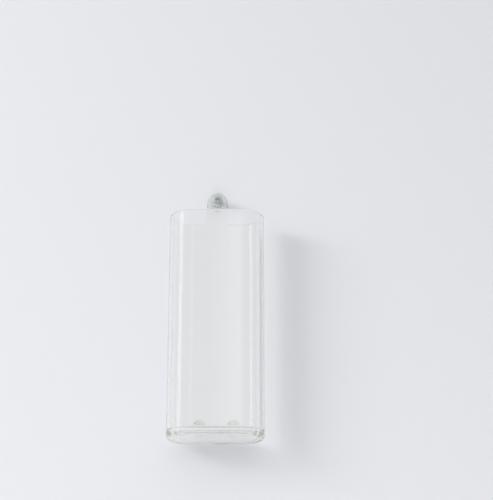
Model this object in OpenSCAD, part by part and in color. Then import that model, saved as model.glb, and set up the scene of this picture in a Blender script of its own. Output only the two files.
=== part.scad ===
/* [Vessel] */
// Width of the vessel, across both half-round ends
vessel_w = 80; // [70:1:120]
// Depth of the vessel, from its flat front to its flat back
vessel_d = 40; // [32:1:48]
// Height of the vessel, from its underside to its rim
vessel_h = 195; // [120:5:300]
// Thickness of the glass wall
wall_t = 3; // [2:0.5:4.5]
// Thickness of the glass base
base_t = 4.5; // [3:0.5:10]
// Radius of the heel, where the wall turns into the underside
heel_r = 4; // [2:0.5:8]
// Radius inside, where the wall turns into the floor
floor_r = 5; // [2:0.5:8]

/* [Hanging tab] */
// Width of the tab, which ends in a half circle
tab_w = 18; // [16:0.5:24]
// Height of the tab's hole above the rim
tab_rise = 21; // [16:0.5:30]
// Diameter of the tab's hole
hole_d = 10; // [9.6:0.1:11]
// Radius where the tab's sides flare into the rim
foot_r = 6; // [3:0.5:8]

/* [Hanging sleeve] */
// Outer diameter of the sleeve that the tab hangs on
sleeve_d = 9; // [8.2:0.1:9.4]
// Diameter of the flange against the wall
flange_d = 16; // [13:0.5:20]
// Thickness of the flange
flange_t = 1.8; // [1.2:0.1:3]
// How far the sleeve stands out past the front of the tab
sleeve_past_tab = 3; // [1:0.5:6]

/* [Screw] */
// Diameter of the screw's shank
screw_d = 4; // [3:0.1:4.5]
// Length of the screw under its head
screw_len = 40; // [34:1:50]
// Diameter of the screw's head
head_d = 7.8; // [7:0.1:8]
// Height of the screw's head
head_t = 2.8; // [2.2:0.1:3.4]
// Drop of the head's dome from its middle to its edge
head_dome = 1; // [0.5:0.1:1.5]
// Length of the screw's point
tip_len = 4; // [2:0.5:6]
// Diameter of the flat at the end of the point
tip_d = 1; // [0.4:0.1:1.5]
// Width of a slot of the cross recess
slot_w = 1.1; // [0.8:0.1:1.5]
// Length of a slot of the cross recess
slot_l = 4.4; // [3:0.1:5]
// Depth of the cross recess
slot_depth = 1.7; // [1:0.1:2]

/* [Wall plug] */
// Diameter of the plug, which is that of the hole drilled in the wall
plug_d = 6; // [5.5:0.1:8]
// Length of the plug
plug_len = 30; // [25:1:32]
// Width of the plug's expansion slits
slit_w = 0.8; // [0.5:0.1:1.2]
// Length of the smooth collar of the plug, in front of its slits
collar_len = 14; // [13:0.5:15]
// Number of grooves round the slit part of the plug
groove_count = 4; // [1:1:4]
// Width of a groove, which is also the width of the band between two grooves
groove_w = 1.5; // [0.8:0.1:1.6]
// Depth of a groove
groove_depth = 0.35; // [0.2:0.05:0.5]
// Length of the plug's nose, which narrows
nose_len = 3; // [2:0.5:4]
// How much the nose narrows, on the radius
nose_drop = 0.4; // [0.2:0.1:0.6]
// Number of flutes round the collar's mouth, whose edges stop the plug turning
flute_count = 6; // [4:2:8]
// Length of the flutes
flute_len = 5; // [3:0.5:6]
// Width of a flute
flute_w = 1; // [0.6:0.1:1.2]
// Depth of a flute
flute_depth = 0.3; // [0.2:0.05:0.4]

/* [Bumpers] */
// Diameter of a bumper
bumper_d = 10; // [6:0.5:12]
// Radius of a bumper's rounded edge
bumper_edge = 1.2; // [0.6:0.1:1.4]
// Height of the bumpers' centres above the underside of the vessel
bumper_rise = 16; // [12:1:40]
// Gap between a bumper and the end of the flat back
bumper_inset = 1; // [0:0.5:4]

/* [Fits] */
// Radial clearance of the sleeve on the shank, on which it turns
run_gap = 0.05; // [0.02:0.01:0.1]
// Gap between the top of the sleeve and the top of the tab's hole
hang_gap = 0.05; // [0.02:0.01:0.1]
// Gap along the screw between the flange and the tab
tab_play = 0.2; // [0.1:0.05:0.5]
// Gap along the screw between the sleeve and the head
head_play = 0.2; // [0.1:0.05:0.5]

/* [Hidden] */
$fn = 96;
// The origin is on the screw's axis at the wall's face. The wall is the plane y = 0, with the room
// on the -Y side and +Z up.
end_r = vessel_d / 2;
straight = vessel_w - vessel_d;
standoff = flange_t + tab_play;
mid_y = -(standoff + end_r);
hole_r = hole_d / 2;
sleeve_r = sleeve_d / 2;
screw_r = screw_d / 2;
head_r = head_d / 2;
hole_z = sleeve_r + hang_gap - hole_r;
rim_z = hole_z - tab_rise;
base_z = rim_z - vessel_h;
sleeve_len = standoff + wall_t + sleeve_past_tab;
head_s = sleeve_len + head_play;
// Radius of the ball that the head's dome is a cap of
dome_r = (head_r * head_r + head_dome * head_dome) / (2 * head_dome);
bumper_r = bumper_d / 2;
bumper_x = straight / 2 - bumper_r - bumper_inset;
// How far a cutter runs past the face it cuts
over = 1;

// Turns a shape so that its +Z points out of the wall, into the room
module out_of_wall() { rotate([90, 0, 0]) children(); }

// Turns a shape so that its +Z points into the wall
module into_wall() { rotate([-90, 0, 0]) children(); }

// Half section of the glass, from the middle out to the wall: x is the distance from the middle plane
// and y is the height above the underside
module glass_section() {
    lip_r = wall_t / 2;
    lip_z = vessel_h - lip_r;
    inner = end_r - wall_t;
    difference() {
        union() {
            square([end_r - heel_r, lip_z]);
            translate([0, heel_r]) square([end_r, lip_z - heel_r]);
            translate([end_r - heel_r, heel_r]) circle(heel_r);
        }
        translate([0, base_t + floor_r]) square([inner, vessel_h]);
        translate([0, base_t]) square([inner - floor_r, vessel_h]);
        translate([inner - floor_r, base_t + floor_r]) circle(floor_r);
    }
    translate([end_r - lip_r, lip_z]) circle(lip_r);
}

// One half-round end of the vessel, turned to face +X (side 1) or -X (side -1)
module round_end(side) {
    translate([side * straight / 2, 0, 0]) rotate([0, 0, -90 * side])
        rotate_extrude(angle = 180) glass_section();
}

// The flat front, the flat back and the floor between the two ends
module flat_middle() {
    rotate([90, 0, 90]) linear_extrude(height = straight, center = true) {
        glass_section();
        mirror([1, 0]) glass_section();
    }
}

// Outline of the tab, seen from the front, with its foot buried in the back wall below the rim
module tab_outline() {
    foot_z = rim_z - wall_t;
    half_w = tab_w / 2;
    difference() {
        union() {
            translate([0, hole_z]) circle(half_w);
            translate([-half_w, foot_z]) square([tab_w, hole_z - foot_z]);
            translate([-half_w - foot_r, foot_z]) square([tab_w + 2 * foot_r, foot_r]);
        }
        for (side = [-1, 1])
            translate([side * (half_w + foot_r), foot_z + foot_r]) circle(foot_r);
    }
}

module hanging_tab() {
    difference() {
        translate([0, -standoff, 0]) out_of_wall() linear_extrude(height = wall_t) tab_outline();
        translate([0, -standoff + over, hole_z])
            out_of_wall() cylinder(r = hole_r, h = wall_t + 2 * over);
    }
}

module glass_tube() {
    color([0.84, 0.89, 0.88, 0.5]) {
        translate([0, mid_y, base_z]) {
            flat_middle();
            round_end(1);
            round_end(-1);
        }
        hanging_tab();
    }
}

module hanging_sleeve() {
    color([0.88, 0.9, 0.9, 0.6]) out_of_wall() difference() {
        union() {
            cylinder(d = flange_d, h = flange_t);
            cylinder(r = sleeve_r, h = sleeve_len);
        }
        translate([0, 0, -over]) cylinder(r = screw_r + run_gap, h = sleeve_len + 2 * over);
    }
}

module screw_head() {
    difference() {
        rotate_extrude() intersection() {
            square([head_r, head_t]);
            translate([0, head_t - dome_r]) circle(dome_r);
        }
        for (turn = [0, 90])
            rotate([0, 0, turn]) translate([-slot_l / 2, -slot_w / 2, head_t - slot_depth])
                cube([slot_l, slot_w, slot_depth + over]);
    }
}

module hanging_screw() {
    shank_len = screw_len - tip_len;
    color([0.78, 0.79, 0.79]) out_of_wall() {
        translate([0, 0, head_s]) screw_head();
        translate([0, 0, head_s - shank_len]) cylinder(r = screw_r, h = shank_len);
        translate([0, 0, head_s - screw_len]) cylinder(r1 = tip_d / 2, r2 = screw_r, h = tip_len);
    }
}

// The grooves' cutters, rings that start one groove's width past the slits' mouth
module plug_grooves(plug_r) {
    for (i = [0 : groove_count - 1])
        translate([0, 0, collar_len + groove_w * (2 * i + 1)]) difference() {
            cylinder(r = plug_r + over, h = groove_w);
            translate([0, 0, -over]) cylinder(r = plug_r - groove_depth, h = groove_w + 2 * over);
        }
}

// The flutes' cutters, bars spread evenly round the mouth
module plug_flutes(plug_r) {
    step = 360 / flute_count;
    for (i = [0 : flute_count - 1])
        rotate([0, 0, step * (i + 0.5)]) translate([plug_r - flute_depth, -flute_w / 2, -over])
            cube([flute_depth + over, flute_w, flute_len + over]);
}

module wall_plug() {
    plug_r = plug_d / 2;
    body_len = plug_len - nose_len;
    color([0.8, 0.81, 0.8]) into_wall() difference() {
        union() {
            cylinder(r = plug_r, h = body_len);
            translate([0, 0, body_len]) cylinder(r1 = plug_r, r2 = plug_r - nose_drop, h = nose_len);
        }
        translate([0, 0, -over]) cylinder(r = screw_r, h = plug_len + 2 * over);
        translate([-plug_r - over, -slit_w / 2, collar_len])
            cube([plug_d + 2 * over, slit_w, plug_len - collar_len + over]);
        plug_grooves(plug_r);
        plug_flutes(plug_r);
    }
}

// One bumper on the left (side -1) or the right (side 1), its flat face towards the wall
module bumper(side) {
    color([0.9, 0.92, 0.92, 0.6])
        translate([side * bumper_x, -standoff, base_z + bumper_rise]) into_wall() rotate_extrude() {
            square([bumper_r - bumper_edge, standoff]);
            square([bumper_r, standoff - bumper_edge]);
            translate([bumper_r - bumper_edge, standoff - bumper_edge])
                intersection() {
                    circle(bumper_edge);
                    square(bumper_edge);
                }
        }
}

module bumper_left() { bumper(-1); }

module bumper_right() { bumper(1); }

glass_tube();
hanging_sleeve();
hanging_screw();
wall_plug();
bumper_left();
bumper_right();
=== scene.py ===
import math

import bmesh
import bpy
from mathutils import Matrix, Vector


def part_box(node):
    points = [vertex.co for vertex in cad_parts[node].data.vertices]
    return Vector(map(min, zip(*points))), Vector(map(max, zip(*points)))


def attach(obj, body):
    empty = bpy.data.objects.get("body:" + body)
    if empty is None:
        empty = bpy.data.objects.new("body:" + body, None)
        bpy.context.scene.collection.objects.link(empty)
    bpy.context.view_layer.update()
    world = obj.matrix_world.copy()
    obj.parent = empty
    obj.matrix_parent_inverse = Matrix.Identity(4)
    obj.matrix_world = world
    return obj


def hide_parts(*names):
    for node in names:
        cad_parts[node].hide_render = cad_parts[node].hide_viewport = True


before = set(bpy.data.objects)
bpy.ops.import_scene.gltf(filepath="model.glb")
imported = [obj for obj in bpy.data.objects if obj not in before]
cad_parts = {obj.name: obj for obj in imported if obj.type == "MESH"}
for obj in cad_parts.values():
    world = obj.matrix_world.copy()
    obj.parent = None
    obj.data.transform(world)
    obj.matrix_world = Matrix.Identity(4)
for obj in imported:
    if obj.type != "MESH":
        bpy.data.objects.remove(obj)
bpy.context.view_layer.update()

# The scene, a millimetre in metres, and the CAD boxes that the sizes are read from
scene = bpy.context.scene
MM = 0.001


def corners(node):
    """A CAD node's lowest and highest corners at rest, to a hundredth of a millimetre."""
    return [[round(value, 5) for value in corner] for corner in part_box(node)]


# Sizes, in metres. The origin is on the screw's axis at the wall's face. The wall is the plane y = 0,
# the room is on the -Y side and +Z is up. Outer sizes and places come from the CAD nodes.
tube_low, tube_high = corners("glass_tube")
END_R = (tube_high[1] - tube_low[1]) / 2   # outer radius of the tube's half-round ends
MID_Y = (tube_high[1] + tube_low[1]) / 2   # the tube's middle plane
HALF_STRAIGHT = tube_high[0] - END_R       # half the length of the flat front and back
BASE_Z = tube_low[2]
WALL_T = 3 * MM
BASE_T = 4.5 * MM
HEEL_R = 4 * MM
FLOOR_R = 5 * MM

TAB_R = 9 * MM            # half the tab's width, and the radius of its top
TAB_RISE = 21 * MM        # height of the hole above the rim
TAB_BACK_Y = tube_high[1]
TAB_EDGE_R = 1.4 * MM     # how far the flame has rounded the tab's outer edges
HOLE_R = 5 * MM
HOLE_EDGE_R = 0.9 * MM    # how far it has rounded the hole's edges
HOLE_Z = tube_high[2] - TAB_R
RIM_Z = HOLE_Z - TAB_RISE
FOOT_R = 6 * MM           # radius where the tab's sides flare into the rim
FOOT_Z = RIM_Z - WALL_T
FOOT_DEPTH = 5 * MM       # how far the tab's plate runs down inside the wall below its flares

pad_low, pad_high = corners("bumper_right")
PAD_R = (pad_high[0] - pad_low[0]) / 2
PAD_X = pad_high[0] - PAD_R
PAD_Z = pad_high[2] - PAD_R
PAD_T = 1.98 * MM         # 0.02 mm short of the glass
PAD_EDGE_R = 1.2 * MM
PAD_GLUED_EDGE = 0.1 * MM

sleeve_low, sleeve_high = corners("hanging_sleeve")
SLEEVE_LEN = -sleeve_low[1]
SLEEVE_BORE_R = 2.05 * MM
BARREL_R = 4.5 * MM
FLANGE_R = sleeve_high[0]
FLANGE_T = 1.8 * MM

screw_high = corners("hanging_screw")[1]
HEAD_R = screw_high[0]
HEAD_UNDER_Y = -SLEEVE_LEN - 0.2 * MM
HEAD_TOP_Y = HEAD_UNDER_Y - 2.8 * MM
HEAD_DOME = 1 * MM        # drop of the dome from its middle to its edge
SHANK_R = 2 * MM
POINT_Y = screw_high[1]

plug_high = corners("wall_plug")[1]
PLUG_R = plug_high[0]
PLUG_LEN = plug_high[1]
COLLAR_LEN = 14 * MM      # the smooth part in front of the slit
GROOVE_W = 1.5 * MM       # also the width of the band between two grooves
OVER = 1 * MM             # how far a cutter runs past what it cuts


# Camera: below the tube and looking up at it by 21 degrees, as in the photograph
CAMERA_PLACE = (0.02528, -1.16903, -0.48873)
CAMERA_TILT = math.radians(110.868)
camera_data = bpy.data.cameras.new("photo_camera")
camera_data.sensor_width = 36
camera_data.lens = 103.824
camera_data.clip_start = 0.01
camera_data.clip_end = 20
camera = bpy.data.objects.new("photo_camera", camera_data)
camera.location = CAMERA_PLACE
camera.rotation_euler = (CAMERA_TILT, 0, 0)
scene.collection.objects.link(camera)
scene.camera = camera


# Colours and nodes
def linear(code):
    """The linear colour, with an alpha of 1, of an sRGB hex code."""
    parts = [int(code[i:i + 2], 16) / 255 for i in (1, 3, 5)]
    colour = [c / 12.92 if c <= 0.04045 else ((c + 0.055) / 1.055) ** 2.4 for c in parts]
    return (*colour, 1.0)


def add_node(tree, kind, values=None, links=None, **settings):
    """Adds one node to a tree, with its settings, its unlinked values and its links."""
    node = tree.nodes.new(kind)
    for key, value in settings.items():
        setattr(node, key, value)
    for socket, value in (values or {}).items():
        node.inputs[socket].default_value = value
    for socket, source in (links or {}).items():
        tree.links.new(source, node.inputs[socket])
    return node


def empty_material(name):
    """A material with nothing in it but its output."""
    material = bpy.data.materials.new(name)
    material.use_nodes = True
    tree = material.node_tree
    tree.nodes.clear()
    return material, tree, tree.nodes.new("ShaderNodeOutputMaterial")


def set_ramp(node, stops):
    """Gives a colour ramp its stops, each a place and an sRGB hex colour."""
    elements = node.color_ramp.elements
    elements[0].position, elements[0].color = stops[0][0], linear(stops[0][1])
    elements[1].position, elements[1].color = stops[-1][0], linear(stops[-1][1])
    for place, code in stops[1:-1]:
        elements.new(place).color = linear(code)
    return node


def let_light_through(tree, clear, passing):
    """The clear shader for what is seen, and a plain straight passage for light on its way to and from
    the wall behind, so that the piece doesn't black it out."""
    path = add_node(tree, "ShaderNodeLightPath")
    bounced = add_node(tree, "ShaderNodeMixShader", None,
                       {"Fac": path.outputs["Is Diffuse Ray"], 1: clear.outputs["BSDF"],
                        2: passing.outputs["BSDF"]})
    return add_node(tree, "ShaderNodeMixShader", None,
                    {"Fac": path.outputs["Is Shadow Ray"], 1: bounced.outputs["Shader"],
                     2: passing.outputs["BSDF"]})


# Materials
def light_bent_away(tree, coords, facing):
    """How much of the light on its way to the wall the tube bends away, from 0 to 1, where it enters the
    glass: over half of what comes in by the underside, and all that meets squarely the front three
    quarters of the half-round end that is turned from the window."""
    place = add_node(tree, "ShaderNodeSeparateXYZ", None, {"Vector": coords.outputs["Object"]})
    from_axis = add_node(tree, "ShaderNodeMapping",
                         {"Location": (-HALF_STRAIGHT, -MID_Y, 0), "Scale": (1, 1, 0)},
                         {"Vector": coords.outputs["Object"]})
    radius = add_node(tree, "ShaderNodeVectorMath", None, {0: from_axis.outputs["Vector"]},
                      operation="LENGTH")
    outer = add_node(tree, "ShaderNodeMapRange", {"From Min": END_R - 2 * MM, "From Max": END_R - 1 * MM},
                     {"Value": radius.outputs["Value"]})
    right = add_node(tree, "ShaderNodeMapRange",
                     {"From Min": HALF_STRAIGHT, "From Max": HALF_STRAIGHT + 4 * MM},
                     {"Value": place.outputs["X"]})
    forward = add_node(tree, "ShaderNodeMapRange", {"From Min": -8 * MM, "From Max": -12.5 * MM},
                       {"Value": place.outputs["Y"]})
    end = add_node(tree, "ShaderNodeMath", None,
                   {0: outer.outputs["Result"], 1: right.outputs["Result"]}, operation="MULTIPLY")
    turned_end = add_node(tree, "ShaderNodeMath", None,
                          {0: end.outputs["Value"], 1: forward.outputs["Result"]}, operation="MULTIPLY")
    face_on = add_node(tree, "ShaderNodeMapRange", {"From Min": 0.42, "From Max": 0.14},
                       {"Value": facing})
    far_end = add_node(tree, "ShaderNodeMath", None,
                       {0: turned_end.outputs["Value"], 1: face_on.outputs["Result"]},
                       operation="MULTIPLY")
    under = add_node(tree, "ShaderNodeMapRange",
                     {"From Min": BASE_Z + 4.2 * MM, "From Max": BASE_Z + 2 * MM, "To Max": 0.62},
                     {"Value": place.outputs["Z"]})
    bending = add_node(tree, "ShaderNodeMath", None,
                       {0: far_end.outputs["Value"], 1: under.outputs["Result"]}, operation="MAXIMUM")
    side = add_node(tree, "ShaderNodeNewGeometry")
    entering = add_node(tree, "ShaderNodeMath", {0: 1.0}, {1: side.outputs["Backfacing"]},
                        operation="SUBTRACT")
    bent = add_node(tree, "ShaderNodeMath", None,
                    {0: bending.outputs["Value"], 1: entering.outputs["Value"]}, operation="MULTIPLY")
    return bent.outputs["Value"]


def fire_polished_glass():
    """Clear soda-lime glass, drawn and then fire-polished: all but colourless face on, grey-green where a
    ray runs far inside it, with painted shade that darkens its outlines towards glancing views, the faint
    upright waves of drawn glass and a soft bloom of lime film."""
    material, tree, output = empty_material("fire_polished_glass")
    coords = add_node(tree, "ShaderNodeTexCoord")
    # Drawn waves, about 9 mm across and 90 mm long
    along = add_node(tree, "ShaderNodeMapping", {"Scale": (1, 1, 0.1)},
                     {"Vector": coords.outputs["Object"]})
    waves = add_node(tree, "ShaderNodeTexNoise", {"Scale": 110, "Detail": 2, "Roughness": 0.45},
                     {"Vector": along.outputs["Vector"]})
    # Cords, the finer upright lines, about 2 mm apart and nearly as long as the tube
    upright = add_node(tree, "ShaderNodeMapping", {"Scale": (1, 1, 0.012)},
                       {"Vector": coords.outputs["Object"]})
    cords = add_node(tree, "ShaderNodeTexNoise", {"Scale": 480, "Detail": 1, "Roughness": 0.4},
                     {"Vector": upright.outputs["Vector"]})
    wave_bump = add_node(tree, "ShaderNodeBump", {"Strength": 1, "Distance": 0.02 * MM},
                         {"Height": waves.outputs["Fac"]})
    bump = add_node(tree, "ShaderNodeBump", {"Strength": 1, "Distance": 0.003 * MM},
                    {"Height": cords.outputs["Fac"], "Normal": wave_bump.outputs["Normal"]})
    # Film left by drying water, in patches about 25 mm across
    film = add_node(tree, "ShaderNodeTexNoise", {"Scale": 40, "Detail": 4, "Roughness": 0.6},
                    {"Vector": coords.outputs["Object"]})
    haze = add_node(tree, "ShaderNodeMapRange",
                    {"From Min": 0.45, "From Max": 0.8, "To Min": 0.0, "To Max": 0.035},
                    {"Value": film.outputs["Fac"]})
    # Painted shade: towards glancing views the outlines are painted darker and greener, which draws the
    # edges of the glass dark; the real tint of a long path through the glass comes from the absorption
    # below
    slant = add_node(tree, "ShaderNodeLayerWeight", {"Blend": 0.5})
    painted_outline_shade = set_ramp(add_node(tree, "ShaderNodeValToRGB", None, {"Fac": slant.outputs["Facing"]}),
                    [(0.77, "#FDFDFC"), (0.84, "#A7B1A7"), (0.93, "#667266")])
    glass = add_node(tree, "ShaderNodeBsdfPrincipled", {"IOR": 1.52, "Transmission Weight": 1.0},
                     {"Base Color": painted_outline_shade.outputs["Color"], "Roughness": haze.outputs["Result"],
                      "Normal": bump.outputs["Normal"]})
    # Light on its way to the wall goes straight through, but for what the tube bends away
    bent = light_bent_away(tree, coords, slant.outputs["Facing"])
    dimmed = set_ramp(add_node(tree, "ShaderNodeValToRGB", None, {"Fac": bent}),
                      [(0.0, "#FFFFFF"), (1.0, "#4F4E43")])
    passing = add_node(tree, "ShaderNodeBsdfTransparent", None, {"Color": dimmed.outputs["Color"]})
    mixed = let_light_through(tree, glass, passing)
    depth = add_node(tree, "ShaderNodeVolumeAbsorption", {"Color": linear("#E4EBD7"), "Density": 2})
    tree.links.new(mixed.outputs["Shader"], output.inputs["Surface"])
    tree.links.new(depth.outputs["Volume"], output.inputs["Volume"])
    return material


def moulded_silicone():
    """Clear silicone rubber from a mould: soft gloss, slight milkiness and the fine grain of the tool."""
    material, tree, output = empty_material("moulded_silicone")
    coords = add_node(tree, "ShaderNodeTexCoord")
    # The milkiness comes in clouds about 3 mm across
    clouds = add_node(tree, "ShaderNodeTexNoise", {"Scale": 330, "Detail": 3, "Roughness": 0.5},
                      {"Vector": coords.outputs["Object"]})
    milk = set_ramp(add_node(tree, "ShaderNodeValToRGB", None, {"Fac": clouds.outputs["Fac"]}),
                    [(0.3, "#F0F3F2"), (0.7, "#FAFBFB")])
    # Spark grain of the mould, 0.25 mm, drawn a little coarser than the real one so that it shows
    grain = add_node(tree, "ShaderNodeTexNoise", {"Scale": 4000, "Detail": 2},
                     {"Vector": coords.outputs["Object"]})
    gloss = add_node(tree, "ShaderNodeMapRange", {"To Min": 0.08, "To Max": 0.14},
                     {"Value": grain.outputs["Fac"]})
    bump = add_node(tree, "ShaderNodeBump", {"Strength": 1, "Distance": 0.004 * MM},
                    {"Height": grain.outputs["Fac"]})
    rubber = add_node(tree, "ShaderNodeBsdfPrincipled", {"IOR": 1.41, "Transmission Weight": 0.82},
                      {"Base Color": milk.outputs["Color"], "Roughness": gloss.outputs["Result"],
                       "Normal": bump.outputs["Normal"]})
    passing = add_node(tree, "ShaderNodeBsdfTransparent", {"Color": linear("#F0F3F2")})
    mixed = let_light_through(tree, rubber, passing)
    tree.links.new(mixed.outputs["Shader"], output.inputs["Surface"])
    return material


def cast_polyurethane():
    """Clear cast polyurethane: a glossy, faintly warm dome with a few hair-fine scuffs where it rubs."""
    material, tree, output = empty_material("cast_polyurethane")
    coords = add_node(tree, "ShaderNodeTexCoord")
    # The cast surface undulates over about 2.5 mm
    skin = add_node(tree, "ShaderNodeTexNoise", {"Scale": 400, "Detail": 2},
                    {"Vector": coords.outputs["Object"]})
    # Scuffs about 0.3 mm apart and 3 mm long
    drawn = add_node(tree, "ShaderNodeMapping", {"Scale": (1, 1, 0.1), "Rotation": (0, 0.6, 0)},
                     {"Vector": coords.outputs["Object"]})
    scuffs = add_node(tree, "ShaderNodeTexNoise", {"Scale": 3300, "Detail": 2},
                      {"Vector": drawn.outputs["Vector"]})
    gloss = add_node(tree, "ShaderNodeMapRange",
                     {"From Min": 0.55, "From Max": 0.8, "To Min": 0.03, "To Max": 0.14},
                     {"Value": scuffs.outputs["Fac"]})
    bump = add_node(tree, "ShaderNodeBump", {"Strength": 1, "Distance": 0.01 * MM},
                    {"Height": skin.outputs["Fac"]})
    rubber = add_node(tree, "ShaderNodeBsdfPrincipled",
                      {"Base Color": linear("#F6F8F5"), "IOR": 1.5, "Transmission Weight": 0.95},
                      {"Roughness": gloss.outputs["Result"], "Normal": bump.outputs["Normal"]})
    passing = add_node(tree, "ShaderNodeBsdfTransparent", {"Color": linear("#F3F5F4")})
    mixed = let_light_through(tree, rubber, passing)
    tree.links.new(mixed.outputs["Shader"], output.inputs["Surface"])
    return material


def turned_stainless_steel():
    """Cold-headed and rolled stainless steel with a satin bloom: soft highlights with the fine rings that
    the machine left, and a slightly uneven tone."""
    material, tree, output = empty_material("turned_stainless_steel")
    coords = add_node(tree, "ShaderNodeTexCoord")
    # Fine rings round the screw's axis, which is Y
    rings = add_node(tree, "ShaderNodeTexWave",
                     {"Scale": 1300, "Distortion": 1.5, "Detail": 2, "Detail Scale": 1.5},
                     {"Vector": coords.outputs["Object"]}, wave_type="RINGS", rings_direction="Y")
    # Uneven tone in patches about 1 mm across
    stains = add_node(tree, "ShaderNodeTexNoise", {"Scale": 900, "Detail": 5, "Roughness": 0.6},
                      {"Vector": coords.outputs["Object"]})
    colour = set_ramp(add_node(tree, "ShaderNodeValToRGB", None, {"Fac": stains.outputs["Fac"]}),
                      [(0.3, "#C6C7C6"), (0.55, "#D6D7D6"), (0.8, "#E0E1E1")])
    gloss = add_node(tree, "ShaderNodeMapRange", {"To Min": 0.22, "To Max": 0.38},
                     {"Value": stains.outputs["Fac"]})
    bump = add_node(tree, "ShaderNodeBump", {"Strength": 0.5, "Distance": 0.006 * MM},
                    {"Height": rings.outputs["Fac"]})
    steel = add_node(tree, "ShaderNodeBsdfPrincipled", {"Metallic": 1.0},
                     {"Base Color": colour.outputs["Color"], "Roughness": gloss.outputs["Result"],
                      "Normal": bump.outputs["Normal"]})
    tree.links.new(steel.outputs["BSDF"], output.inputs["Surface"])
    return material


def moulded_nylon():
    """Grey injection-moulded nylon: matt and slightly waxy, with flow marks along the plug."""
    material, tree, output = empty_material("moulded_nylon")
    coords = add_node(tree, "ShaderNodeTexCoord")
    # Flow marks along Y, about 1.5 mm across
    along = add_node(tree, "ShaderNodeMapping", {"Scale": (1, 0.15, 1)},
                     {"Vector": coords.outputs["Object"]})
    flow = add_node(tree, "ShaderNodeTexNoise", {"Scale": 650, "Detail": 3, "Roughness": 0.55},
                    {"Vector": along.outputs["Vector"]})
    grain = add_node(tree, "ShaderNodeTexNoise", {"Scale": 4500, "Detail": 2},
                     {"Vector": coords.outputs["Object"]})
    colour = set_ramp(add_node(tree, "ShaderNodeValToRGB", None, {"Fac": flow.outputs["Fac"]}),
                      [(0.3, "#A9ABAA"), (0.7, "#B9BBBA")])
    gloss = add_node(tree, "ShaderNodeMapRange", {"To Min": 0.42, "To Max": 0.6},
                     {"Value": grain.outputs["Fac"]})
    bump = add_node(tree, "ShaderNodeBump", {"Strength": 1, "Distance": 0.012 * MM},
                    {"Height": grain.outputs["Fac"]})
    nylon = add_node(tree, "ShaderNodeBsdfPrincipled", {"IOR": 1.53},
                     {"Base Color": colour.outputs["Color"], "Roughness": gloss.outputs["Result"],
                      "Normal": bump.outputs["Normal"]})
    tree.links.new(nylon.outputs["BSDF"], output.inputs["Surface"])
    return material


def pale_paint(name, code, see_through_back):
    """Plain pale paint for the stage. The wall isn't drawn from behind, so that the back can be seen."""
    material, tree, output = empty_material(name)
    paint = add_node(tree, "ShaderNodeBsdfPrincipled", {"Base Color": linear(code), "Roughness": 0.6})
    if see_through_back:
        side = add_node(tree, "ShaderNodeNewGeometry")
        clear = add_node(tree, "ShaderNodeBsdfTransparent")
        paint = add_node(tree, "ShaderNodeMixShader", None,
                         {"Fac": side.outputs["Backfacing"], 1: paint.outputs["BSDF"],
                          2: clear.outputs["BSDF"]})
    tree.links.new(paint.outputs[0], output.inputs["Surface"])
    return material


# Mesh helpers
def arc(centre, radius, start, end, steps):
    """Points of an arc in a profile, from one angle in degrees to another."""
    angles = [math.radians(start + (end - start) * i / steps) for i in range(steps + 1)]
    return [(centre[0] + radius * math.cos(a), centre[1] + radius * math.sin(a)) for a in angles]


def chain(bm, points, closed=False):
    """New vertices through the points, joined by edges."""
    verts = [bm.verts.new(p) for p in points]
    ends = verts[1:] + verts[:1] if closed else verts[1:]
    edges = [bm.edges.new(pair) for pair in zip(verts, ends)]
    return verts, edges


def turn_about_y(bm, profile, centre, steps, closed):
    """Turns a profile of (radius, y) points right round an axis along Y."""
    points = [(centre[0] + r, y, centre[1]) for r, y in profile]
    verts, edges = chain(bm, points, closed)
    bmesh.ops.spin(bm, geom=verts + edges, cent=(centre[0], 0, centre[1]), axis=(0, 1, 0),
                   angle=2 * math.pi, steps=steps, use_merge=True)
    bmesh.ops.remove_doubles(bm, verts=bm.verts, dist=0.002 * MM)
    bmesh.ops.recalc_face_normals(bm, faces=bm.faces)


def block(bm, low, high, turn=0):
    """A block between two corners, turned about the Y axis, for cutting."""
    verts = bmesh.ops.create_cube(bm, size=1)["verts"]
    bmesh.ops.scale(bm, verts=verts, vec=Vector(high) - Vector(low))
    bmesh.ops.translate(bm, verts=verts, vec=(Vector(high) + Vector(low)) / 2)
    bmesh.ops.rotate(bm, verts=verts, cent=(0, 0, 0), matrix=Matrix.Rotation(turn, 3, "Y"))


def as_object(bm, name):
    """A linked object with the bmesh as its mesh."""
    mesh = bpy.data.meshes.new(name)
    bm.to_mesh(mesh)
    bm.free()
    piece = bpy.data.objects.new(name, mesh)
    scene.collection.objects.link(piece)
    return piece


def bake_modifiers(piece):
    """Makes a piece's modifiers part of its mesh."""
    made = piece.evaluated_get(bpy.context.evaluated_depsgraph_get())
    mesh = bpy.data.meshes.new_from_object(made)
    piece.modifiers.clear()
    piece.data = mesh


def combine(piece, other, operation):
    """Joins another solid to a piece, or cuts it out, and removes the other."""
    modifier = piece.modifiers.new("combine", "BOOLEAN")
    modifier.operation = operation
    modifier.solver = "EXACT"
    modifier.object = other
    bake_modifiers(piece)
    bpy.data.objects.remove(other)


def round_edges(piece, width, segments, angle):
    """Gives a piece's edges past an angle, in degrees, a small radius."""
    modifier = piece.modifiers.new("round", "BEVEL")
    modifier.width = width
    modifier.segments = segments
    modifier.limit_method = "ANGLE"
    modifier.angle_limit = math.radians(angle)
    modifier.harden_normals = False
    bake_modifiers(piece)


def shade(piece, sharp_angle):
    """Smooth shading, creased only at edges past an angle, with flat faces kept flat by weighting."""
    bm = bmesh.new()
    bm.from_mesh(piece.data)
    for face in bm.faces:
        face.smooth = True
    for edge in bm.edges:
        edge.smooth = edge.calc_face_angle(0) < math.radians(sharp_angle)
    bm.to_mesh(piece.data)
    bm.free()
    modifier = piece.modifiers.new("flat_faces", "WEIGHTED_NORMAL")
    modifier.keep_sharp = True
    modifier.weight = 80


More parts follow.
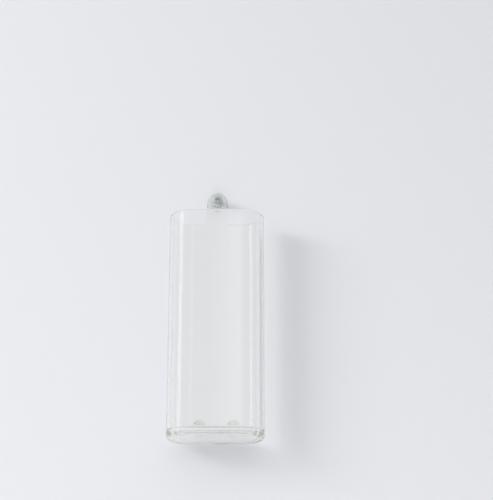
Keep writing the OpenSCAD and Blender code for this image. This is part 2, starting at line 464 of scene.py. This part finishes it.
def dress(piece, body, material, node):
    """Gives a piece its material, its body and the CAD node that it stands for."""
    piece.data.materials.clear()
    piece.data.materials.append(material)
    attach(piece, body)
    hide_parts(node)


# Glass tube: a shell with a full-round rim, a rounded heel and a thick floor, and the hanging tab
def draw_across(bm, edges):
    """Draws a row of edges from the right end of the flats to the left, and returns the new row."""
    drawn = bmesh.ops.extrude_edge_only(bm, edges=edges)["geom"]
    verts = [part for part in drawn if isinstance(part, bmesh.types.BMVert)]
    bmesh.ops.translate(bm, verts=verts, vec=(-2 * HALF_STRAIGHT, 0, 0))
    row = [part for part in drawn if isinstance(part, bmesh.types.BMEdge)
           and all(vert in verts for vert in part.verts)]
    return verts + row


def glass_shell():
    """The tube's half section, swept round the right end, along both flats and round the left end."""
    lip_r = WALL_T / 2
    inner = END_R - WALL_T
    height = RIM_Z - BASE_Z
    end_steps = 80
    section = [(0, 0)]
    section += arc((END_R - HEEL_R, HEEL_R), HEEL_R, -90, 0, 14)
    section += arc((END_R - lip_r, height - lip_r), lip_r, 0, 180, 18)
    section += arc((inner - FLOOR_R, BASE_T + FLOOR_R), FLOOR_R, 0, -90, 14)
    section += [(0, BASE_T)]
    bm = bmesh.new()
    verts, edges = chain(bm, [(HALF_STRAIGHT, MID_Y - r, BASE_Z + z) for r, z in section])
    turned = bmesh.ops.spin(bm, geom=verts + edges, cent=(HALF_STRAIGHT, MID_Y, 0), axis=(0, 0, 1),
                            angle=math.pi, steps=end_steps)
    back_edges = [part for part in turned["geom_last"] if isinstance(part, bmesh.types.BMEdge)]
    front_row = draw_across(bm, edges)
    draw_across(bm, back_edges)
    bmesh.ops.spin(bm, geom=front_row, cent=(-HALF_STRAIGHT, MID_Y, 0), axis=(0, 0, 1),
                   angle=-math.pi, steps=end_steps)
    bmesh.ops.remove_doubles(bm, verts=bm.verts, dist=0.005 * MM)
    bmesh.ops.recalc_face_normals(bm, faces=bm.faces)
    return as_object(bm, "fire_polished_tube")


def tab_rims(bm):
    """The square edges round the faces of the tab's plate: those of its outline and those of its hole."""
    square = math.radians(70)
    outer, hole = [], []
    for edge in bm.edges:
        start, end = edge.verts[0].co, edge.verts[1].co
        if edge.calc_face_angle(0) < square or abs(start.y - end.y) > 1e-7:
            continue
        reach = min(math.hypot(point.x, point.z - HOLE_Z) for point in (start, end))
        (outer if reach > 1.2 * HOLE_R else hole).append(edge)
    return outer, hole


def tab_plate():
    """The tab: a plate with a half-round top, a hole, and a foot that flares into the rim. All its edges
    are rounded by the flame. It is 0.02 mm inside the faces of the wall that it grows from."""
    skin = 0.02 * MM
    flare_x = TAB_R + FOOT_R
    hole_steps = 64
    outline = arc((0, HOLE_Z), TAB_R, 0, 180, 48)
    outline += arc((-flare_x, FOOT_Z + FOOT_R), FOOT_R, 0, -90, 16)
    outline += [(-flare_x, FOOT_Z - FOOT_DEPTH), (flare_x, FOOT_Z - FOOT_DEPTH)]
    outline += arc((flare_x, FOOT_Z + FOOT_R), FOOT_R, -90, -180, 16)
    hole = arc((0, HOLE_Z), HOLE_R, 0, 360, hole_steps)[:-1]
    bm = bmesh.new()
    for loop in (outline, hole):
        chain(bm, [(x, TAB_BACK_Y - skin, z) for x, z in loop], closed=True)
    bmesh.ops.triangle_fill(bm, use_beauty=True, use_dissolve=False, edges=bm.edges[:])
    grown = bmesh.ops.extrude_face_region(bm, geom=bm.faces[:] + bm.edges[:] + bm.verts[:])["geom"]
    moved = [part for part in grown if isinstance(part, bmesh.types.BMVert)]
    bmesh.ops.translate(bm, verts=moved, vec=(0, 2 * skin - WALL_T, 0))
    bmesh.ops.recalc_face_normals(bm, faces=bm.faces)
    outer_rims, hole_rims = tab_rims(bm)
    bmesh.ops.bevel(bm, geom=outer_rims, offset=TAB_EDGE_R, offset_type="OFFSET", affect="EDGES",
                    segments=7, profile=0.5, material=-1, clamp_overlap=False)
    hole_rims = [edge for edge in hole_rims if edge.is_valid]
    bmesh.ops.bevel(bm, geom=hole_rims, offset=HOLE_EDGE_R, offset_type="OFFSET", affect="EDGES",
                    segments=6, profile=0.5, material=-1, clamp_overlap=False)
    bmesh.ops.remove_doubles(bm, verts=bm.verts, dist=0.002 * MM)
    return as_object(bm, "tab")


tube = glass_shell()
combine(tube, tab_plate(), "UNION")
shade(tube, 40)
dress(tube, "vessel", fire_polished_glass(), "glass_tube")


# Bumpers: small clear domed pads that keep the glass off the wall
def bumper_pad(name, x):
    """A pad with a rounded edge towards the wall and a small chamfer where it is glued to the glass."""
    profile = [(0, -PAD_T), (PAD_R - PAD_GLUED_EDGE, -PAD_T), (PAD_R, PAD_GLUED_EDGE - PAD_T)]
    profile += arc((PAD_R - PAD_EDGE_R, -PAD_EDGE_R), PAD_EDGE_R, 0, 90, 12)
    profile += [(0, 0)]
    bm = bmesh.new()
    turn_about_y(bm, profile, (x, PAD_Z), 72, closed=False)
    return as_object(bm, name)


polyurethane = cast_polyurethane()
for side, name in ((-1, "left"), (1, "right")):
    pad = bumper_pad("bumper_pad_" + name, side * PAD_X)
    shade(pad, 50)
    dress(pad, "vessel", polyurethane, "bumper_" + name)


# Sleeve: a flange against the wall and a barrel over the screw, in soft clear silicone
def hanging_sleeve():
    """The sleeve's section, turned right round, with all its edges rounded as they leave the mould."""
    wall_edge = 0.3 * MM
    flange_edge = 0.8 * MM
    root = 0.2 * MM
    barrel_edge = 0.7 * MM
    mouth_edge = 0.4 * MM
    profile = arc((SLEEVE_BORE_R + wall_edge, -wall_edge), wall_edge, 180, 90, 4)
    profile += arc((FLANGE_R - wall_edge, -wall_edge), wall_edge, 90, 0, 4)
    profile += arc((FLANGE_R - flange_edge, flange_edge - FLANGE_T), flange_edge, 0, -90, 8)
    profile += arc((BARREL_R + root, -FLANGE_T - root), root, 90, 180, 4)
    profile += arc((BARREL_R - barrel_edge, barrel_edge - SLEEVE_LEN), barrel_edge, 0, -90, 8)
    profile += arc((SLEEVE_BORE_R + mouth_edge, mouth_edge - SLEEVE_LEN), mouth_edge, -90, -180, 5)
    bm = bmesh.new()
    turn_about_y(bm, profile, (0, 0), 96, closed=True)
    return as_object(bm, "silicone_sleeve")


sleeve = hanging_sleeve()
shade(sleeve, 50)
dress(sleeve, "sleeve", moulded_silicone(), "hanging_sleeve")


# Screw: a domed head with a cross recess, a plain shank, and a rolled thread with a point
def screw_blank():
    """The head and the plain start of the shank, turned right round."""
    dome_r = (HEAD_R ** 2 + HEAD_DOME ** 2) / (2 * HEAD_DOME)
    dome_end = -64.5    # angle, in degrees, where the dome gives way to the rounded rim
    rim_r, rim_drop = 0.4 * MM, 1.38 * MM
    small = 0.2 * MM
    shank_end, shank_bevel = 2.1 * MM, 0.5 * MM
    profile = arc((0, HEAD_TOP_Y + dome_r), dome_r, -90, dome_end, 12)
    profile += arc((HEAD_R - rim_r, HEAD_TOP_Y + rim_drop), rim_r, -50, 0, 5)
    profile += arc((HEAD_R - small, HEAD_UNDER_Y - small), small, 0, 90, 4)
    profile += arc((SHANK_R + small, HEAD_UNDER_Y + small), small, -90, -180, 4)
    profile += [(SHANK_R, shank_end - shank_bevel), (SHANK_R - shank_bevel, shank_end), (0, shank_end)]
    bm = bmesh.new()
    turn_about_y(bm, profile, (0, 0), 96, closed=False)
    return as_object(bm, "pan_head_screw")


def recess_blade(turn):
    """One slot of the cross recess, narrower and shorter at its bottom."""
    length, depth, width = 4.4 * MM, 1.7 * MM, 1.15 * MM
    height = 2.4 * MM
    length_share, width_share = 0.36, 0.62
    bottom = HEAD_TOP_Y + depth
    bm = bmesh.new()
    block(bm, (-length / 2, bottom - height, -width / 2), (length / 2, bottom, width / 2))
    inner = [vert for vert in bm.verts if vert.co.y > bottom - height / 2]
    bmesh.ops.scale(bm, verts=inner, vec=(length_share, 1, width_share))
    bmesh.ops.rotate(bm, verts=bm.verts, cent=(0, 0, 0), matrix=Matrix.Rotation(turn, 3, "Y"))
    return as_object(bm, "blade")


def screw_thread():
    """The rolled thread, 1.8 mm from crest to crest, swept along its helix, cut flat at both ends and
    drawn in to a point."""
    pitch, turn_steps, turns = 1.8 * MM, 36, 19
    core, crest = 1.35 * MM, 1.97 * MM
    first_y, start_y = -0.8 * MM, 1 * MM
    tip_len, tip_share = 5.3 * MM, 0.2
    # One turn's section: along the core, up one flank, over the crest and down the other flank
    ridge = [(core, 0), (core, 0.56 * pitch), (crest, 0.74 * pitch), (crest, 0.8 * pitch), (core, pitch)]
    bm = bmesh.new()
    verts, edges = chain(bm, [(r, first_y + y, 0) for r, y in ridge])
    bmesh.ops.spin(bm, geom=verts + edges, cent=(0, 0, 0), axis=(0, 1, 0),
                   dvec=(0, pitch / turn_steps, 0), angle=2 * math.pi * turns, steps=turn_steps * turns)
    bmesh.ops.remove_doubles(bm, verts=bm.verts, dist=0.004 * MM)
    for end, normal in ((start_y, (0, -1, 0)), (POINT_Y, (0, 1, 0))):
        everything = bm.verts[:] + bm.edges[:] + bm.faces[:]
        bmesh.ops.bisect_plane(bm, geom=everything, dist=1e-7, plane_co=(0, end, 0), plane_no=normal,
                               clear_outer=True)
        bmesh.ops.holes_fill(bm, edges=[edge for edge in bm.edges if edge.is_boundary], sides=0)
    for vert in bm.verts:
        along_tip = min(1, max(0, (vert.co.y - POINT_Y + tip_len) / tip_len))
        vert.co.x *= 1 - (1 - tip_share) * along_tip
        vert.co.z *= 1 - (1 - tip_share) * along_tip
    bmesh.ops.recalc_face_normals(bm, faces=bm.faces)
    return as_object(bm, "thread")


screw = screw_blank()
for turn in (0, math.pi / 2):
    combine(screw, recess_blade(turn), "DIFFERENCE")
round_edges(screw, 0.06 * MM, 2, 50)
combine(screw, screw_thread(), "UNION")
shade(screw, 40)
dress(screw, "wall_fixing", turned_stainless_steel(), "hanging_screw")


# Wall plug: a fluted collar, then two grooved jaws with a slit between them, and a narrowed nose
def plug_blank():
    """The plug with its grooves and its nose, turned right round its bore."""
    bore_r = SHANK_R
    groove_r = PLUG_R - 0.35 * MM
    nose_len, nose_drop = 3 * MM, 0.4 * MM
    profile = [(bore_r, 0), (PLUG_R, 0)]
    for i in range(4):
        start = COLLAR_LEN + GROOVE_W * (2 * i + 1)
        end = start + GROOVE_W
        profile += [(PLUG_R, start), (groove_r, start), (groove_r, end), (PLUG_R, end)]
    profile += [(PLUG_R, PLUG_LEN - nose_len), (PLUG_R - nose_drop, PLUG_LEN), (bore_r, PLUG_LEN)]
    bm = bmesh.new()
    turn_about_y(bm, profile, (0, 0), 72, closed=True)
    return as_object(bm, "nylon_plug")


def plug_cutters():
    """The slit between the jaws and the six flutes round the collar's mouth."""
    half_slit, half_flute = 0.4 * MM, 0.5 * MM
    flute_r, flute_len = PLUG_R - 0.3 * MM, 5 * MM
    past = PLUG_R + OVER
    bm = bmesh.new()
    block(bm, (-past, COLLAR_LEN, -half_slit), (past, PLUG_LEN + OVER, half_slit))
    for i in range(6):
        block(bm, (flute_r, -OVER, -half_flute), (past, flute_len, half_flute), math.radians(30 + 60 * i))
    return as_object(bm, "plug_cutters")


plug = plug_blank()
combine(plug, plug_cutters(), "DIFFERENCE")
round_edges(plug, 0.1 * MM, 2, 35)
shade(plug, 40)
dress(plug, "wall_fixing", moulded_nylon(), "wall_plug")


# Stage: a plain pale wall for the tube to hang on, and a plain pale floor far below
def stage_sheet(name, material, corner_points):
    """One flat sheet of the stage."""
    bm = bmesh.new()
    bm.faces.new([bm.verts.new(point) for point in corner_points])
    sheet = as_object(bm, name)
    sheet.data.materials.append(material)


FLOOR_Z = -1.4
wall_y, wall_reach, wall_top = 0.2 * MM, 2.5, 1.6
stage_sheet("stage_wall", pale_paint("wall_paint", "#EBECEF", True),
            [(-wall_reach, wall_y, FLOOR_Z), (wall_reach, wall_y, FLOOR_Z),
             (wall_reach, wall_y, wall_top), (-wall_reach, wall_y, wall_top)])
floor_reach, floor_back = 20, 1.5
stage_sheet("stage_floor", pale_paint("floor_paint", "#E6E6E7", False),
            [(-floor_reach, -floor_reach, FLOOR_Z), (floor_reach, -floor_reach, FLOOR_Z),
             (floor_reach, floor_back, FLOOR_Z), (-floor_reach, floor_back, FLOOR_Z)])


# Light: a large soft lamp to the left, a weak one below, and a pale room that is darker to the right
LAMP_AIM = Vector((0, -0.02, -0.12))    # near the middle of the tube


def soft_lamp(name, width, height, power, place):
    """A rectangular lamp aimed at the tube. It lights the wall and isn't mirrored, because what the glass
    mirrors is the room, whose window and door are softer."""
    data = bpy.data.lights.new(name, "AREA")
    data.shape = "RECTANGLE"
    data.size = width
    data.size_y = height
    data.energy = power
    lamp = bpy.data.objects.new(name, data)
    lamp.location = place
    lamp.rotation_euler = (LAMP_AIM - lamp.location).to_track_quat("-Z", "Y").to_euler()
    lamp.visible_camera = False
    lamp.visible_glossy = False
    lamp.visible_transmission = False
    scene.collection.objects.link(lamp)


def window_light(tree, direction, towards_window, along_window):
    """The strength of a tall window, whose upright bars part it into three panes."""
    narrowed = add_node(tree, "ShaderNodeVectorMath", {1: (1, 1, 0.45)}, {0: direction},
                        operation="MULTIPLY")
    level = add_node(tree, "ShaderNodeVectorMath", None, {0: narrowed.outputs["Vector"]},
                     operation="NORMALIZE")
    towards = add_node(tree, "ShaderNodeVectorMath", {1: towards_window}, {0: level.outputs["Vector"]},
                       operation="DOT_PRODUCT")
    window = add_node(tree, "ShaderNodeMapRange",
                      {"From Min": 0.962, "From Max": 0.982, "To Min": 0.0, "To Max": 2.9},
                      {"Value": towards.outputs["Value"]})
    sideways = add_node(tree, "ShaderNodeVectorMath", {1: along_window}, {0: level.outputs["Vector"]},
                        operation="DOT_PRODUCT")
    spread = add_node(tree, "ShaderNodeMapRange", {"From Min": -0.25, "From Max": 0.25},
                      {"Value": sideways.outputs["Value"]})
    panes = set_ramp(add_node(tree, "ShaderNodeValToRGB", None, {"Fac": spread.outputs["Result"]}),
                     [(0.0, "#000000"), (0.20, "#000000"), (0.23, "#FFFFFF"), (0.33, "#FFFFFF"),
                      (0.37, "#000000"), (0.44, "#000000"), (0.48, "#FFFFFF"), (0.55, "#FFFFFF"),
                      (0.59, "#000000"), (0.70, "#000000"), (0.73, "#D0D0D0"), (0.78, "#D0D0D0"),
                      (0.82, "#000000"), (1.0, "#000000")])
    paned = add_node(tree, "ShaderNodeMath", None,
                     {0: window.outputs["Result"], 1: panes.outputs["Color"]}, operation="MULTIPLY")
    return paned.outputs["Value"]


def door_light(tree, direction, x):
    """The strength of a pale door behind the camera, whose upright edge is mirrored as a soft band down
    the flat front."""
    facing_door = add_node(tree, "ShaderNodeVectorMath", {1: (0.06, -0.952, 0.3)}, {0: direction},
                           operation="DOT_PRODUCT")
    door = add_node(tree, "ShaderNodeMapRange",
                    {"From Min": 0.966, "From Max": 0.982, "To Min": 0.0, "To Max": 0.4},
                    {"Value": facing_door.outputs["Value"]})
    door_edge = add_node(tree, "ShaderNodeMapRange", {"From Min": -0.029, "From Max": -0.004},
                         {"Value": x}, interpolation_type="SMOOTHSTEP")
    pale_door = add_node(tree, "ShaderNodeMath", None,
                         {0: door.outputs["Result"], 1: door_edge.outputs["Result"]},
                         operation="MULTIPLY")
    return pale_door.outputs["Value"]


def pale_room():
    """The room that the glass mirrors, brighter to the left and above."""
    world = bpy.data.worlds.new("pale_room")
    world.use_nodes = True
    tree = world.node_tree
    tree.nodes.clear()
    coords = add_node(tree, "ShaderNodeTexCoord")
    direction = coords.outputs["Generated"]
    across = add_node(tree, "ShaderNodeSeparateXYZ", None, {"Vector": direction})
    left_right = add_node(tree, "ShaderNodeMapRange",
                          {"From Min": -1.0, "From Max": 1.0, "To Min": 0.73, "To Max": 0.44},
                          {"Value": across.outputs["X"]})
    up_down = add_node(tree, "ShaderNodeMapRange",
                       {"From Min": -1.0, "From Max": 1.0, "To Min": -0.09, "To Max": 0.13},
                       {"Value": across.outputs["Z"]})
    total = add_node(tree, "ShaderNodeMath", None,
                     {0: left_right.outputs["Result"], 1: up_down.outputs["Result"]}, operation="ADD")
    # The room is a little dimmer far to the left and right, which draws the edges of the glass
    sideward = add_node(tree, "ShaderNodeMath", None, {0: across.outputs["X"]}, operation="ABSOLUTE")
    beside = add_node(tree, "ShaderNodeMapRange",
                      {"From Min": 0.88, "From Max": 0.965, "To Min": 1.0, "To Max": 0.88},
                      {"Value": sideward.outputs["Value"]})
    dimmed = add_node(tree, "ShaderNodeMath", None,
                      {0: total.outputs["Value"], 1: beside.outputs["Result"]}, operation="MULTIPLY")
    # The window stands on the left, where the large lamp is
    paned = window_light(tree, direction, (-0.889, -0.444, 0.113), (-0.447, 0.894, 0))
    windowed = add_node(tree, "ShaderNodeMath", None, {0: dimmed.outputs["Value"], 1: paned},
                        operation="ADD")
    lit = add_node(tree, "ShaderNodeMath", None,
                   {0: windowed.outputs["Value"], 1: door_light(tree, direction, across.outputs["X"])},
                   operation="ADD")
    room = add_node(tree, "ShaderNodeBackground", {"Color": linear("#FDFDFF")},
                    {"Strength": lit.outputs["Value"]})
    add_node(tree, "ShaderNodeOutputWorld", None, {"Surface": room.outputs["Background"]})
    return world


soft_lamp("window_side", width=0.8, height=0.48, power=17.4, place=(-1.808, -0.948, 0.456))
# Light thrown back up from a pale floor
soft_lamp("floor_bounce", width=0.7, height=0.7, power=3.4, place=(0, -0.9, -1.1))
scene.world = pale_room()

scene.view_settings.view_transform = "Standard"
scene.cycles.use_denoising = True
# Light that enters the base climbs inside the wall by some 50 reflections before it leaves at the rim
LIGHT_BOUNCES = 128
scene.cycles.max_bounces = LIGHT_BOUNCES
scene.cycles.transmission_bounces = LIGHT_BOUNCES
scene.cycles.glossy_bounces = LIGHT_BOUNCES
scene.cycles.transparent_max_bounces = 64
scene.cycles.caustics_refractive = False
scene.cycles.caustics_reflective = False
